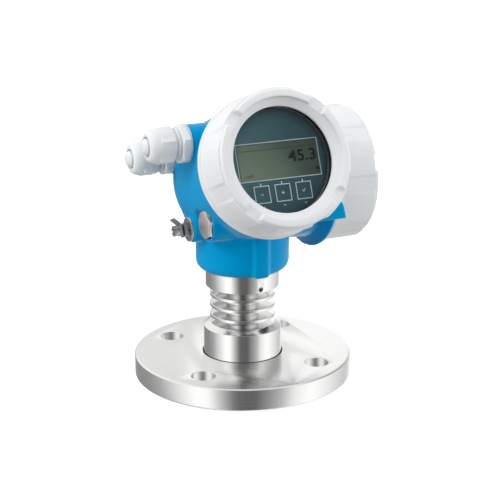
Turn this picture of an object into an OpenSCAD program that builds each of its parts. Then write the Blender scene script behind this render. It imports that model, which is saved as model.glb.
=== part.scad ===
// Radar level transmitter with a flanged process connection, a finned cooling neck
// and a two-compartment cast head.
// Origin: centre of the flange's gasket face. +Z runs up the neck, the display looks
// towards -Y and the terminal compartment opens towards +X.

/* [Process flange] */
// Outer diameter of the flange
flange_d = 165; // [150:1:190]
// Thickness of the flange with its raised face
flange_t = 20; // [16:1:28]
// Diameter of the raised gasket face
raised_d = 102; // [92:1:104]
// Height of the raised gasket face
raised_h = 3; // [1:0.5:4]
// Bolt circle diameter
bolt_pcd = 125; // [122:1:130]
// Bolt hole diameter
bolt_hole_d = 18; // [12:1:18]
// Number of bolts
bolt_count = 4; // [4:4:8]
// Angle of the first bolt hole
bolt_turn = 38.4; // [0:0.2:90]
// Diameter of the through bore that takes the neck
flange_bore_d = 52; // [48:1:54]

/* [Antenna] */
// Diameter of the antenna disc
antenna_d = 66; // [62:1:72]
// Thickness of the antenna disc
antenna_t = 6; // [4:0.5:8]
// Length of the antenna cone inside the neck
cone_h = 26; // [18:1:32]
// Diameter of the waveguide bore
guide_d = 16; // [12:1:18]
// Diameter of the feed pin
feed_d = 3; // [2:0.5:4]

/* [Finned neck] */
// Diameter of the lower collar
collar_d = 59; // [56:1:62]
// Height of the collar above the flange, with its bevel
collar_h = 24; // [18:1:26]
// Width of the bevel round the top of the collar
collar_bevel = 4.8; // [1:0.2:6]
// Height of the bevel round the top of the collar
collar_bevel_h = 3; // [1:0.5:5]
// Depth of the collar's seat in the flange
collar_seat = 3; // [2:0.5:5]
// Diameter of the core between the fins
core_d = 25.5; // [24:0.5:30]
// Diameter of the fins
fin_d = 50; // [40:1:54]
// Thickness of a fin at its rim
fin_t = 2.8; // [1.5:0.1:4]
// Distance from one fin to the next
fin_pitch = 8.2; // [6:0.1:8.2]
// Number of fins
fin_count = 3; // [1:1:3]
// Diameter of the spigot that the head turns on
spigot_d = 34; // [30:0.5:36]

/* [Head adapter] */
// Height of the adapter's underside above the gasket face
adapter_z = 73; // [72:0.5:76]
// Outer diameter of the adapter
adapter_d = 56; // [52:1:60]
// Diameter of the adapter's tenon inside the casting
tenon_d = 47; // [44:1:50]
// Diameter of the adapter's lock screw
lock_screw_d = 3.6; // [3:0.1:3.7]

/* [Head casting] */
// Height of the casting's underside above the gasket face
cast_z = 86.5; // [85:0.5:90]
// Diameter of the lower body
body_d = 70.4; // [66:0.2:76]
// Radius round the bottom of the lower body
body_round = 7.5; // [2:0.5:9.5]
// Height of the ledge on top of the lower body
ledge_z = 118; // [112:1:122]
// Distance of the compartments' common centre behind the neck axis
centre_back = 20; // [16:1:22]
// Height of the compartments' common centre
centre_z = 148; // [146:0.5:152]
// Upward tilt of the display compartment
display_tilt = 22.5; // [18:0.5:26]
// Outer diameter of the display barrel
front_barrel_d = 98; // [96:1:102]
// Depth of the terminal compartment's axis below the common centre
side_down = 0.9; // [0:0.1:2]
// Outer diameter of the terminal barrel
side_barrel_d = 94; // [90:1:98]
// Diameter of the collar at the open end of the terminal barrel
side_collar_d = 111; // [108:1:114]
// Distance of the domed end from the neck axis
dome_reach = 35; // [34:0.5:42]
// Corner radius of the domed end
dome_round = 27; // [20:1:34]
// Wall thickness of the compartments
cast_wall = 3.6; // [2.5:0.1:4]

/* [Screw covers] */
// Diameter of the rear lip
cover_d = 105; // [104:0.5:106]
// Diameter of the skirt
skirt_d = 102; // [100:0.5:103]
// Diameter of the raised front rim
rim_d = 98; // [94:0.5:99]
// Overall height of a cover
cover_h = 38; // [36:0.5:40]
// Height of the raised rim
rim_h = 3; // [1.5:0.5:4]
// Width of the rim's flat top
rim_w = 5.6; // [4:0.1:7]
// Depth of the window ledge below the rim
window_depth = 7; // [5:0.5:8]
// Diameter of the clear window
window_d = 75.8; // [72:0.2:78]
// Width of a wrench notch in the rim
notch_w = 11; // [6:0.5:14]
// Number of grip recesses round the skirt
grip_count = 8; // [6:1:12]
// Width of a grip recess
grip_w = 12; // [8:0.5:14]
// Depth of a grip recess
grip_depth = 1.6; // [0.8:0.1:1.8]
// Distance of the window ledge from the compartments' centre
window_reach = 97; // [96:0.5:99]
// Distance of the terminal cover's rim from the neck axis
side_reach = 99.6; // [99:0.2:102]
// How much shorter the terminal cover is than the display cover
side_short = 2.2; // [0:0.1:3]
// How much larger the terminal cover is in diameter than the display cover
side_cover_more = 1.8; // [0:0.2:3]

/* [Glass and display] */
// Thickness of the sight glass
glass_t = 5; // [3:0.5:6]
// How far the sight glass laps the window ledge all round
glass_lap = 4.6; // [3:0.1:5]
// Diameter of the display module
display_d = 82.6; // [80:0.2:84]
// Thickness of the display module
display_t = 13; // [9:0.5:14]
// Width of the display's viewing field
lcd_w = 64.4; // [50:0.2:65]
// Height of the display's viewing field
lcd_h = 27; // [20:1:30]
// Height of the viewing field's centre above the module's centre
lcd_up = 1.5; // [-3:0.5:4]
// Width of a touch key
key_w = 12; // [8:0.2:13]
// Height of a touch key
key_h = 12.4; // [9:0.2:14]
// Distance from one touch key to the next
key_pitch = 16.2; // [14:0.2:18]

/* [Terminals] */
// Length of the terminal block
terminal_l = 54; // [40:1:60]
// Number of terminals
terminal_count = 4; // [2:1:6]
// Diameter of a terminal screw
terminal_screw_d = 6; // [4:0.5:7]

/* [Cable glands] */
// Distance of the gland face from the neck axis
gland_reach = 50; // [48:0.5:54]
// Height of the gland row above the compartments' centre
gland_up = 23.7; // [22:0.1:26]
// Tilt of the gland row against the display's axis, in degrees
gland_tilt = 3; // [0:0.5:5]
// Distance of the rear gland along the display axis
rear_gland_out = 9; // [6:1:10]
// Distance from the rear gland to the front gland
gland_pitch = 37.7; // [34:0.1:38]
// Diameter of the gland thread
gland_thread_d = 20; // [16:0.5:20]
// Width across flats of the gland body
gland_af = 26; // [22:0.5:28]
// Width across flats of the gland's cap nut
gland_cap_af = 24.5; // [21:0.5:26]
// Length of a gland from the casting to the cap's rim
gland_l = 30.5; // [28:0.5:36]
// Diameter of the opening in the cap nut
gland_mouth_d = 15; // [12:0.5:16]
// How far a blanking plug stands out of its cap nut
blank_out = 3; // [2:0.5:8]

/* [Side fittings] */
// Distance of the row of side fittings below the compartments' centre
side_row_down = 33; // [31:0.5:34]
// Distance of the ground terminal along the display axis
ground_out = 11; // [9:0.5:11.5]
// Distance of the hexagon plug along the display axis
plug_out = 33; // [33:0.5:34]
// Distance of the ground terminal's face from the neck axis
ground_reach = 44; // [41:0.5:46]
// Distance of the hexagon plug's seat from the neck axis
plug_reach = 37; // [36:0.5:39]
// Width across flats of the hexagon plug
plug_af = 19; // [17:0.5:19.5]
// Thickness of the hexagon plug's head
plug_t = 3; // [2.5:0.5:7]
// Diameter of the ground plate
ground_plate_d = 18; // [16:0.5:18.5]
// Diameter of the ground screw
ground_screw_d = 4; // [3:0.5:5]

/* [Fits] */
// Radial clearance of a turning fit
run_gap = 0.06; // [0.03:0.01:0.09]
// Radial clearance of a seated piece
seat_gap = 0.1; // [0.05:0.05:0.2]
// Clearance between faces that turn past each other
face_gap = 0.3; // [0.2:0.05:0.5]

/* [Hidden] */
$fn = 96;

blue = "#0a86c8";
white = "#e4e6ea";
steel = "#c9c6c2";
zinc = "#b9bcbd";
dark = "#35434a";
rubber = "#26282a";
ptfe = "#f4f4f0";

// Neck and adapter
collar_r = collar_d / 2;
collar_seat_r = collar_r + 1;
collar_top = flange_t + collar_h;
fin_first = collar_top + 5.9;
fin_root = 0.5;
edge = 0.6;
shoulder_r = spigot_d / 2 + 3;
shoulder_h = 1;
adapter_floor = adapter_z + shoulder_h + face_gap;
tenon_h = 12.5;
adapter_top = cast_z + tenon_h;
spigot_top = adapter_top + 4;
seal_z = cast_z - 1.5;
seal_w = 2;
snap_t = 1.4;
snap_w = 4;
lock_z = adapter_z + 3;
lock_turn = 5;
lock_l = 6.4;
horn_d = 40;
horn_h = cone_h + 4;
bead_z = collar_top + 16;
pin_top = spigot_top + 5;

// Screw covers, measured from the rear lip towards the rim
cover_wall = 3.7;
thread_r = skirt_d / 2 - cover_wall;
lip_h = 3.6;
rim_in_r = rim_d / 2 - rim_w;
ledge_z2 = cover_h - window_depth;
ledge_t = 1.5;
gasket_t = 0.8;
glass_z = ledge_z2 - ledge_t - gasket_t - glass_t;
glass_d = window_d + 2 * glass_lap;
ledge_lap = glass_lap - 1;
ring_t = 3.5;
ring_r = glass_d / 2 + 2;
cup_h = glass_z - ring_t;
barrel_h = cup_h - 1.4;
side_h = cover_h - side_short;
cover_face = side_h - rim_h;
cover_top_t = 4;
groove_z = 3;
notch_turn = 49;
grip_turn = 201.5;

// Head
front_lip = window_reach - ledge_z2;
side_lip = side_reach - side_h;
spigot_r = thread_r - run_gap;
cavity_r = spigot_r - cast_wall;
chamber_r = 30;
chamber_end = dome_reach - 12;
chamber_round = 10;
front_floor = cavity_r + cast_wall;
side_floor = 28;
cellar_r = tenon_d / 2 + 2.5;
cellar_h = 16;
cellar_top = adapter_top + cellar_h;
foot_sink = 1;
barrel_room = 90;
rear_round = 34;
rear_reach = 22;
front_rib_w = 13;
front_rib_out = 3;
front_rib_chamfer = 3;
front_rib_foot = 1.2;
front_rib_h = 38;
shoulder_slope_h = 14;
collar_w = 3.4;
module_screw_r = 34;
module_screw_turn = 35;
module_screw_d = 2.9;
module_screw_l = 10.5;
module_screw_head_d = 5.6;
module_screw_head_h = 2.4;
module_lug_h = 6;
module_step = 5;
module_clear = 3;
flare_w = 5;
passage_r = 5;
passage_side = 12;
passage_front = 16;
passage_tilt = 35;
passage_l = 34;
web_down = 21.6;
web_h = 35.6;
web_root = 26;
web_depth = 30;
web_past = 3.6;

// Side fittings
gland_r = gland_thread_d / 2;
gland_block_r = gland_r + 3.4;
gland_block_h = 30;
gland_span = gland_pitch / cos(gland_tilt);
gland_thread_l = 9;
channel_r = 7;
plug_thread_d = 16;
plug_thread_l = 11;
plug_gasket_t = 1.2;
boss_r = 10;
plug_boss_r = 13.2;
plug_rim_h = 2.4;

// Faces a child's Z axis along the display compartment's axis, with its Y axis upwards
module toward_display(along = 0) {
    translate([0, centre_back, centre_z])
        rotate([90 - display_tilt, 0, 0])
            translate([0, 0, along])
                children();
}

// Faces a child's Z axis along +X, with its X axis downwards
module toward_terminals(along = 0) {
    translate([along, centre_back, centre_z - side_down])
        rotate([0, 90, 0])
            children();
}

// Places a child on the left side, its Z axis pointing to -X, by its distance out along
// the display axis, its height above that axis and its distance from the neck axis
module on_left(out, up, reach) {
    translate([0, centre_back, centre_z])
        rotate([90 - display_tilt, 0, 0])
            translate([-reach, up, out])
                rotate([0, -90, 0])
                    children();
}

// A disc whose lower edge is rounded
module rounded_disc(r, h, f) {
    rotate_extrude() {
        square([r - f, h]);
        translate([0, f])
            square([r, h - f]);
        translate([r - f, f])
            intersection() {
                circle(f);
                translate([-r + f, -f])
                    square([r, 2 * f]);
            }
    }
}

module ring(r_out, r_in, h) {
    difference() {
        cylinder(r = r_out, h = h);
        translate([0, 0, -1])
            cylinder(r = r_in, h = h + 2);
    }
}

module o_ring(r, cord_r) {
    rotate_extrude()
        translate([r, 0])
            circle(cord_r, $fn = 32);
}

module hexagon(af, h) {
    cylinder(d = af / cos(30), h = h, $fn = 6);
}

// A hexagon head with turned corners on its upper face
module hex_head(af, h) {
    intersection() {
        hexagon(af, h);
        union() {
            cylinder(d = af * 1.2, h = h - 1.2);
            translate([0, 0, h - 1.2])
                cylinder(d1 = af * 1.2, d2 = af * 0.96, h = 1.2);
        }
    }
}

module flange() {
    r = flange_d / 2;
    c = 1;
    color(steel)
        difference() {
            rotate_extrude()
                polygon([
                    [antenna_d / 2 + seat_gap, 0], [raised_d / 2, 0], [raised_d / 2, raised_h],
                    [r - c, raised_h], [r, raised_h + c], [r, flange_t - c], [r - c, flange_t],
                    [collar_seat_r + seat_gap, flange_t],
                    [collar_seat_r + seat_gap, flange_t - collar_seat],
                    [flange_bore_d / 2, flange_t - collar_seat], [flange_bore_d / 2, antenna_t],
                    [antenna_d / 2 + seat_gap, antenna_t]
                ]);
            for (i = [0 : bolt_count - 1])
                rotate([0, 0, bolt_turn + i * 360 / bolt_count])
                    translate([bolt_pcd / 2, 0, -1])
                        cylinder(d = bolt_hole_d, h = flange_t + 2);
        }
}

module antenna() {
    color(ptfe)
        rotate_extrude()
            polygon([
                [0, 0], [antenna_d / 2, 0], [antenna_d / 2, antenna_t],
                [horn_d / 2 - 3, antenna_t], [0.8, antenna_t + cone_h], [0, antenna_t + cone_h]
            ]);
}

// One fin's outline, from its lower root to its upper root
function fin_outline(z) = [
    [core_d / 2, z - fin_t / 2 - fin_root], [core_d / 2 + fin_root, z - fin_t / 2],
    [fin_d / 2 - edge, z - fin_t / 2], [fin_d / 2, z - fin_t / 2 + edge],
    [fin_d / 2, z + fin_t / 2 - edge], [fin_d / 2 - edge, z + fin_t / 2],
    [core_d / 2 + fin_root, z + fin_t / 2], [core_d / 2, z + fin_t / 2 + fin_root]
];

module finned_neck() {
    spigot_r0 = spigot_d / 2;
    fins = [for (i = [0 : fin_count - 1]) each fin_outline(fin_first + i * fin_pitch)];
    color(steel)
        rotate_extrude()
            polygon(concat(
                [
                    [horn_d / 2, antenna_t], [flange_bore_d / 2 - seat_gap, antenna_t],
                    [flange_bore_d / 2 - seat_gap, flange_t - collar_seat],
                    [collar_seat_r, flange_t - collar_seat], [collar_seat_r, flange_t],
                    [collar_r, flange_t], [collar_r, collar_top - collar_bevel_h],
                    [collar_r - collar_bevel, collar_top], [core_d / 2, collar_top]
                ],
                fins,
                [
                    [core_d / 2, adapter_z + face_gap], [shoulder_r, adapter_z + face_gap],
                    [shoulder_r, adapter_z + shoulder_h], [spigot_r0, adapter_z + shoulder_h],
                    [spigot_r0, seal_z], [spigot_r0 - seal_w - 0.1, seal_z],
                    [spigot_r0 - seal_w - 0.1, seal_z + seal_w + 0.2], [spigot_r0, seal_z + seal_w + 0.2],
                    [spigot_r0, adapter_top + 0.1], [spigot_r0 - 1.6, adapter_top + 0.1],
                    [spigot_r0 - 1.6, adapter_top + snap_t + 0.3], [spigot_r0, adapter_top + snap_t + 0.3],
                    [spigot_r0, spigot_top - edge], [spigot_r0 - edge, spigot_top],
                    [guide_d / 2, spigot_top], [guide_d / 2, antenna_t + horn_h]
                ]
            ));
}

module feed_bead() {
    color(ptfe)
        translate([0, 0, bead_z])
            ring(guide_d / 2 - seat_gap, feed_d / 2 + seat_gap, spigot_top - bead_z);
}

module feed_pin() {
    color("#c9a44a")
        translate([0, 0, antenna_t + cone_h + 6])
            cylinder(d = feed_d, h = pin_top - antenna_t - cone_h - 6, $fn = 32);
}

module neck_seal() {
    color(rubber)
        translate([0, 0, seal_z + seal_w / 2 + 0.1])
            o_ring(spigot_d / 2 - seal_w / 2 - 0.05, seal_w / 2);
}

module snap_ring() {
    color(zinc)
        translate([0, 0, adapter_top + 0.2])
            difference() {
                ring(spigot_d / 2 - 1.5 + snap_w, spigot_d / 2 - 1.5, snap_t);
                translate([0, -2, -1])
                    cube([spigot_d, 4, snap_t + 2]);
            }
}

module adapter() {
    r = adapter_d / 2;
    color(steel)
        difference() {
            rotate_extrude()
                polygon([
                    [shoulder_r + face_gap, adapter_z], [r - edge, adapter_z], [r, adapter_z + edge],
                    [r, cast_z], [tenon_d / 2, cast_z], [tenon_d / 2, adapter_top],
                    [spigot_d / 2 + run_gap, adapter_top], [spigot_d / 2 + run_gap, adapter_floor],
                    [shoulder_r + face_gap, adapter_floor]
                ]);
            rotate([0, 0, lock_turn])
                translate([0, 0, lock_z])
                    rotate([90, 0, 0])
                        cylinder(d = lock_screw_d + 2 * run_gap, h = r + 1, $fn = 48);
        }
}

module lock_screw() {
    color(zinc)
        rotate([0, 0, lock_turn])
            translate([0, -spigot_d / 2 - face_gap, lock_z])
                rotate([90, 0, 0])
                    difference() {
                        cylinder(d = lock_screw_d, h = lock_l, $fn = 48);
                        translate([0, 0, lock_l - 2.4])
                            hexagon(2, 3);
                    }
}

// The lower body, round below, that stands on the adapter
module lower_body() {
    translate([0, 0, cast_z])
        rounded_disc(body_d / 2, ledge_z - cast_z, body_round);
    translate([0, 0, ledge_z])
        cylinder(r1 = body_d / 2 - 0.8, r2 = body_d / 2 - 3, h = shoulder_slope_h);
}

// The rib down the front of the lower body
module front_rib() {
    depth = body_d / 2 + front_rib_out;
    c = front_rib_chamfer;
    half = front_rib_w / 2;
    translate([0, 0, cast_z + front_rib_foot])
        linear_extrude(front_rib_h)
            polygon([
                [-half, 0], [-half, -depth + c / 2], [-half + c / 2, -depth],
                [half - c, -depth], [half, -depth + c], [half, 0]
            ]);
}

module front_barrel() {
    toward_display(-rear_reach)
        rounded_disc(front_barrel_d / 2, rear_reach + front_lip - face_gap, rear_round);
    toward_display(front_lip - collar_w)
        cylinder(r = spigot_r, h = barrel_h + collar_w);
}

module side_barrel() {
    toward_terminals(-dome_reach)
        rounded_disc(side_barrel_d / 2, dome_reach + side_lip - collar_w, dome_round);
    toward_terminals(side_lip - face_gap - collar_w)
        cylinder(d = side_collar_d, h = collar_w);
    toward_terminals(side_lip - face_gap - collar_w - flare_w)
        cylinder(d1 = side_barrel_d - 1, d2 = side_collar_d - 5, h = flare_w);
    toward_terminals(side_lip - collar_w)
        cylinder(r = spigot_r, h = barrel_h + collar_w);
}

// The block that carries both cable glands
module gland_block() {
    on_left(rear_gland_out, gland_up, gland_reach - gland_block_h)
        rotate([0, 0, gland_tilt]) {
            for (along = [0, gland_span])
                translate([along, 0, 0])
                    cylinder(r = gland_block_r, h = gland_block_h);
            translate([0, -gland_block_r, 0])
                cube([gland_span, 2 * gland_block_r, gland_block_h]);
        }
}

module ground_boss() {
    on_left(ground_out, -side_row_down, ground_reach - 26)
        cylinder(r = boss_r, h = 26);
}

module plug_boss() {
    on_left(plug_out, -side_row_down, plug_reach - 22)
        cylinder(r = plug_boss_r, h = 22 + plug_rim_h);
}

// The spot face that sinks the hexagon plug into its boss and the barrel's flank
module spot_face() {
    on_left(plug_out, -side_row_down, plug_reach)
        cylinder(r = plug_af / 2 / cos(30) + 0.6, h = 22);
}

// The corner web between the display barrel and the terminal barrel's collar
module corner_web() {
    foot = centre_z - web_down;
    difference() {
        translate([0, centre_back - side_collar_d / 2 - 5, 0])
            rotate([90, 0, 0])
                translate([0, 0, -web_depth])
                    linear_extrude(web_depth)
                        polygon([
                            [web_root, foot], [side_lip + web_past, foot],
                            [side_lip + web_past - 2.8, foot + 11.5], [side_lip - 20, foot + web_h],
                            [web_root, foot + web_h]
                        ]);
        toward_terminals(side_lip - face_gap)
            cylinder(d = cover_d + side_cover_more + 2, h = 10);
    }
}

module cavities() {
    toward_display(front_floor)
        cylinder(r = cavity_r, h = barrel_room);
    toward_terminals(side_floor)
        cylinder(r = cavity_r, h = barrel_room);
    toward_terminals(-chamber_end)
        rounded_disc(chamber_r, chamber_end + side_floor + 1, chamber_round);
    translate([0, 0, cast_z - foot_sink])
        cylinder(d = tenon_d + 2 * seat_gap, h = tenon_h + 2 * foot_sink);
    translate([0, 0, adapter_top])
        cylinder(r = cellar_r, h = cellar_top - adapter_top);
    toward_display(0)
        translate([passage_side, 0, 0])
            cylinder(r = passage_r, h = front_floor + 1);
    translate([0, -passage_front, cellar_top - passage_r - 1])
        rotate([passage_tilt, 0, 0])
            cylinder(r = passage_r, h = passage_l);
}

module seal_groove() {
    translate([0, 0, groove_z])
        ring(spigot_r + 1, spigot_r - seal_w - 0.1, seal_w + 0.4);
}

module screw_holes() {
    for (side = [-1, 1])
        toward_display(front_floor - module_step)
            rotate([0, 0, module_screw_turn])
                translate([side * module_screw_r, 0, 0])
                    cylinder(d = module_screw_d + 2 * seat_gap, h = 2 * module_step, $fn = 32);
    on_left(ground_out, -side_row_down, ground_reach - 12)
        cylinder(d = ground_screw_d + 2 * run_gap, h = 13, $fn = 48);
    on_left(plug_out, -side_row_down, plug_reach - plug_thread_l - 1)
        cylinder(d = plug_thread_d + 2 * run_gap, h = plug_thread_l + 2);
}

module gland_holes() {
    on_left(rear_gland_out, gland_up, gland_reach - gland_thread_l - 1)
        rotate([0, 0, gland_tilt]) {
            for (along = [0, gland_span])
                translate([along, 0, 0])
                    cylinder(r = gland_r + seat_gap, h = gland_thread_l + 2);
            rotate([0, 90, 0])
                cylinder(r = channel_r, h = gland_span);
        }
    on_left(rear_gland_out, gland_up, chamber_r - 10)
        cylinder(r = channel_r, h = gland_reach - chamber_r + 10 - gland_thread_l);
}

module housing() {
    color(blue)
        difference() {
            union() {
                difference() {
                    union() {
                        front_barrel();
                        side_barrel();
                        plug_boss();
                    }
                    spot_face();
                }
                lower_body();
                front_rib();
                gland_block();
                ground_boss();
                corner_web();
            }
            cavities();
            toward_display(front_lip)
                seal_groove();
            toward_terminals(side_lip)
                seal_groove();
            screw_holes();
            gland_holes();
        }
}

// The microwave electronics, a round can on a foot in the lower body
module radar_module() {
    r = cellar_r - seat_gap;
    color(zinc)
        translate([0, 0, adapter_top])
            rotate_extrude()
                polygon([
                    [feed_d / 2 + face_gap, 5.5], [tenon_d / 2 + 0.5, 5.5], [tenon_d / 2 + 0.5, 0], [r, 0],
                    [r, 13.5], [r - 1, 14.5], [feed_d / 2 + face_gap, 14.5]
                ]);
}

module electronics_module() {
    r = cavity_r - module_clear;
    h = display_back - front_floor - face_gap;
    color(dark)
        toward_display(front_floor)
            difference() {
                union() {
                    cylinder(r = r, h = h - module_lug_h);
                    cylinder(r = r - module_step, h = h);
                }
                rotate([0, 0, module_screw_turn])
                    for (side = [-1, 1])
                        translate([side * module_screw_r, 0, -1]) {
                            cylinder(d = module_screw_d + 0.3, h = h + 2, $fn = 32);
                            translate([0, 0, module_lug_h + 1])
                                cylinder(d = module_screw_head_d + 1.4, h = h);
                        }
                for (side = [-1, 1])
                    translate([side * 12 - 3, -20, h - 3])
                        cube([6, 40, 4]);
            }
}

module pan_screw(d, l, head_d, head_h) {
    difference() {
        union() {
            translate([0, 0, -l])
                cylinder(d = d, h = l, $fn = 32);
            cylinder(d = head_d, h = head_h, $fn = 48);
        }
        translate([-head_d, -0.5, head_h - 1])
            cube([2 * head_d, 1, 2]);
    }
}

module module_screws() {
    color(zinc)
        for (side = [-1, 1])
            toward_display(front_floor + module_lug_h)
                rotate([0, 0, module_screw_turn])
                    translate([side * module_screw_r, 0, 0])
                        pan_screw(module_screw_d, module_screw_l, module_screw_head_d, module_screw_head_h);
}

// A rounded rectangle outline of a given line width, to stand on a panel
module key_outline(w, h, line, t) {
    difference() {
        linear_extrude(t)
            chamfered_rect(w, h, 1.4);
        translate([0, 0, -1])
            linear_extrude(t + 2)
                chamfered_rect(w - 2 * line, h - 2 * line, 0.9);
    }
}

module chamfered_rect(w, h, c) {
    polygon([
        [-w / 2 + c, -h / 2], [w / 2 - c, -h / 2], [w / 2, -h / 2 + c], [w / 2, h / 2 - c],
        [w / 2 - c, h / 2], [-w / 2 + c, h / 2], [-w / 2, h / 2 - c], [-w / 2, -h / 2 + c]
    ]);
}

display_back = front_lip + cup_h - face_gap - display_t;
panel_t = 0.4;
plateau_h = 2.6;
plateau_r = window_d / 2 - 0.3;
lcd_pocket = 1.6;
display_face = display_t + plateau_h - panel_t;
key_y = lcd_up - lcd_h / 2 - 4 - key_h / 2;

// The round display module with its framed viewing field and its touch keys
module display_module() {
    color(dark)
        toward_display(display_back)
            difference() {
                union() {
                    cylinder(d = display_d, h = display_t - 4);
                    cylinder(d = display_d - 2, h = display_t);
                    cylinder(r = plateau_r, h = display_face);
                    for (side = [-1, 0, 1])
                        translate([side * key_pitch, key_y, display_face])
                            key_outline(key_w, key_h, 0.6, panel_t);
                }
                translate([-lcd_w / 2, lcd_up - lcd_h / 2, display_face - lcd_pocket])
                    cube([lcd_w, lcd_h, 4]);
            }
}

module display_glass() {
    color("#5d6b58")
        toward_display(display_back + display_face - lcd_pocket)
            translate([-lcd_w / 2 + seat_gap, lcd_up - lcd_h / 2 + seat_gap, 0])
                cube([lcd_w - 2 * seat_gap, lcd_h - 2 * seat_gap, lcd_pocket - 0.4]);
}

// The outside of a screw cover, from the rear lip round to the inner edge of its rim,
// with its outer radii larger by an amount and of a given height
function cover_outline(more, h) = [
    [thread_r, 0], [cover_d / 2 + more - edge, 0], [cover_d / 2 + more, edge],
    [cover_d / 2 + more, lip_h - edge], [cover_d / 2 + more - edge, lip_h],
    [skirt_d / 2 + more, lip_h + 0.4], [skirt_d / 2 + more, h - rim_h - 1],
    [skirt_d / 2 + more - 1, h - rim_h], [rim_d / 2 + more, h - rim_h],
    [rim_d / 2 + more, h - 1.2], [rim_d / 2 + more - 1.2, h],
    [rim_in_r + edge, h], [rim_in_r, h - edge]
];

module cover_blank(more, h, inside) {
    difference() {
        rotate_extrude($fn = 128)
            polygon(concat(cover_outline(more, h), inside));
        for (i = [0 : 3])
            rotate([0, 0, notch_turn + i * 90])
                translate([rim_in_r - 3, -notch_w / 2, h - rim_h])
                    cube([rim_w + more + 6, notch_w, rim_h + 1]);
        for (i = [0 : grip_count - 1])
            rotate([0, 0, grip_turn + i * 360 / grip_count])
                translate([skirt_d / 2 + more - grip_depth, -grip_w / 2, lip_h + 2])
                    cube([6, grip_w, cover_h]);
    }
}

module display_cover() {
    color(white)
        toward_display(front_lip)
            cover_blank(0, cover_h, [
                [window_d / 2, ledge_z2], [window_d / 2, ledge_z2 - ledge_t],
                [glass_d / 2 + seat_gap, ledge_z2 - ledge_t], [glass_d / 2 + seat_gap, glass_z],
                [ring_r + seat_gap, glass_z], [ring_r + seat_gap, cup_h], [thread_r, cup_h]
            ]);
}

module terminal_cover() {
    color(white)
        toward_terminals(side_lip)
            rotate([0, 0, 22])
                cover_blank(side_cover_more / 2, side_h, [
                    [rim_in_r - 2, cover_face], [0, cover_face], [0, cover_face - cover_top_t],
                    [thread_r - 5, cover_face - cover_top_t], [thread_r - 5, cup_h + 2],
                    [thread_r, cup_h]
                ]);
}

module sight_glass() {
    color("#cfe0e6", 0.35)
        toward_display(front_lip + glass_z)
            cylinder(d = glass_d, h = glass_t);
}

module glass_gasket() {
    color(rubber)
        toward_display(front_lip + glass_z + glass_t)
            ring(glass_d / 2, glass_d / 2 - ledge_lap, gasket_t);
}

module glass_ring() {
    color(dark)
        toward_display(front_lip + cup_h)
            difference() {
                ring(ring_r, glass_d / 2 - ledge_lap, ring_t);
                for (i = [0, 1])
                    rotate([0, 0, 90 * i])
                        translate([-ring_r, -1.5, -1])
                            cube([2 * ring_r, 3, 2.2]);
            }
}

module display_cover_seal() {
    color(rubber)
        toward_display(front_lip + groove_z + seal_w / 2 + 0.2)
            o_ring(spigot_r - seal_w / 2 - 0.05, seal_w / 2);
}

module terminal_cover_seal() {
    color(rubber)
        toward_terminals(side_lip + groove_z + seal_w / 2 + 0.2)
            o_ring(spigot_r - seal_w / 2 - 0.05, seal_w / 2);
}

// The round plate in the terminal compartment that carries the terminal block
module terminal_carrier() {
    color(dark)
        toward_terminals(side_floor)
            difference() {
                cylinder(r = cavity_r - seat_gap, h = 3);
                translate([0, 24, -1])
                    cylinder(r = 9, h = 5);
                translate([-24, 0, -1])
                    cylinder(r = 9, h = 5);
            }
}

terminal_pitch = terminal_l / terminal_count;
block_w = 20;
block_h = 17;

// Places a child on each terminal, its Z axis pointing out of the compartment
module each_terminal(along) {
    toward_terminals(along)
        for (i = [0 : terminal_count - 1])
            translate([0, -terminal_l / 2 + (i + 0.5) * terminal_pitch - 4, 0])
                children();
}

module terminal_block() {
    color("#3b5b45")
        difference() {
            toward_terminals(side_floor + 3)
                translate([-block_w / 2 + 4, -terminal_l / 2 - 4, 0])
                    cube([block_w, terminal_l, block_h]);
            each_terminal(side_floor + 3 + block_h - 6)
                cylinder(d = terminal_screw_d + 2 * seat_gap, h = 7, $fn = 48);
            each_terminal(side_floor + 3 + 6)
                translate([10, 0, 0])
                    cube([10, terminal_pitch * 0.6, 5], center = true);
        }
}

module terminal_screws() {
    color(zinc)
        each_terminal(side_floor + 3 + block_h - 6)
            difference() {
                cylinder(d = terminal_screw_d, h = 5, $fn = 48);
                translate([-5, -0.5, 4])
                    cube([10, 1, 2]);
            }
}

// Cable gland pieces, their Z axis pointing out of the casting from its face
gland_washer_t = 1.5;
gland_hex_t = 5.5;
gland_neck_r = 10.6;
gland_neck_top = gland_washer_t + gland_hex_t + 5;
gland_cap_hex = 11;
gland_roof = gland_l - 6.5;
insert_r = 8.8;
blank_r = 6;

module gland_washer() {
    color(rubber)
        ring(gland_af / 2 + 0.8, gland_r + seat_gap, gland_washer_t);
}

module gland_body() {
    top = gland_roof - face_gap;
    color(white)
        difference() {
            union() {
                translate([0, 0, -gland_thread_l])
                    cylinder(r = gland_r, h = gland_thread_l + gland_washer_t);
                translate([0, 0, gland_washer_t])
                    hex_head(gland_af, gland_hex_t);
                translate([0, 0, gland_washer_t])
                    cylinder(r = gland_neck_r, h = top - gland_washer_t);
                translate([0, 0, gland_washer_t + gland_hex_t + 1.2])
                    cylinder(r = gland_neck_r + 1, h = 1.5);
            }
            translate([0, 0, -gland_thread_l - 1])
                cylinder(r = 6.5, h = 60);
            translate([0, 0, gland_washer_t + gland_hex_t])
                cylinder(r = insert_r + seat_gap, h = 60);
        }
}

module gland_insert() {
    color(rubber)
        translate([0, 0, gland_washer_t + gland_hex_t])
            ring(insert_r, blank_r + seat_gap, gland_roof - face_gap - gland_washer_t - gland_hex_t);
}

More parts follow.
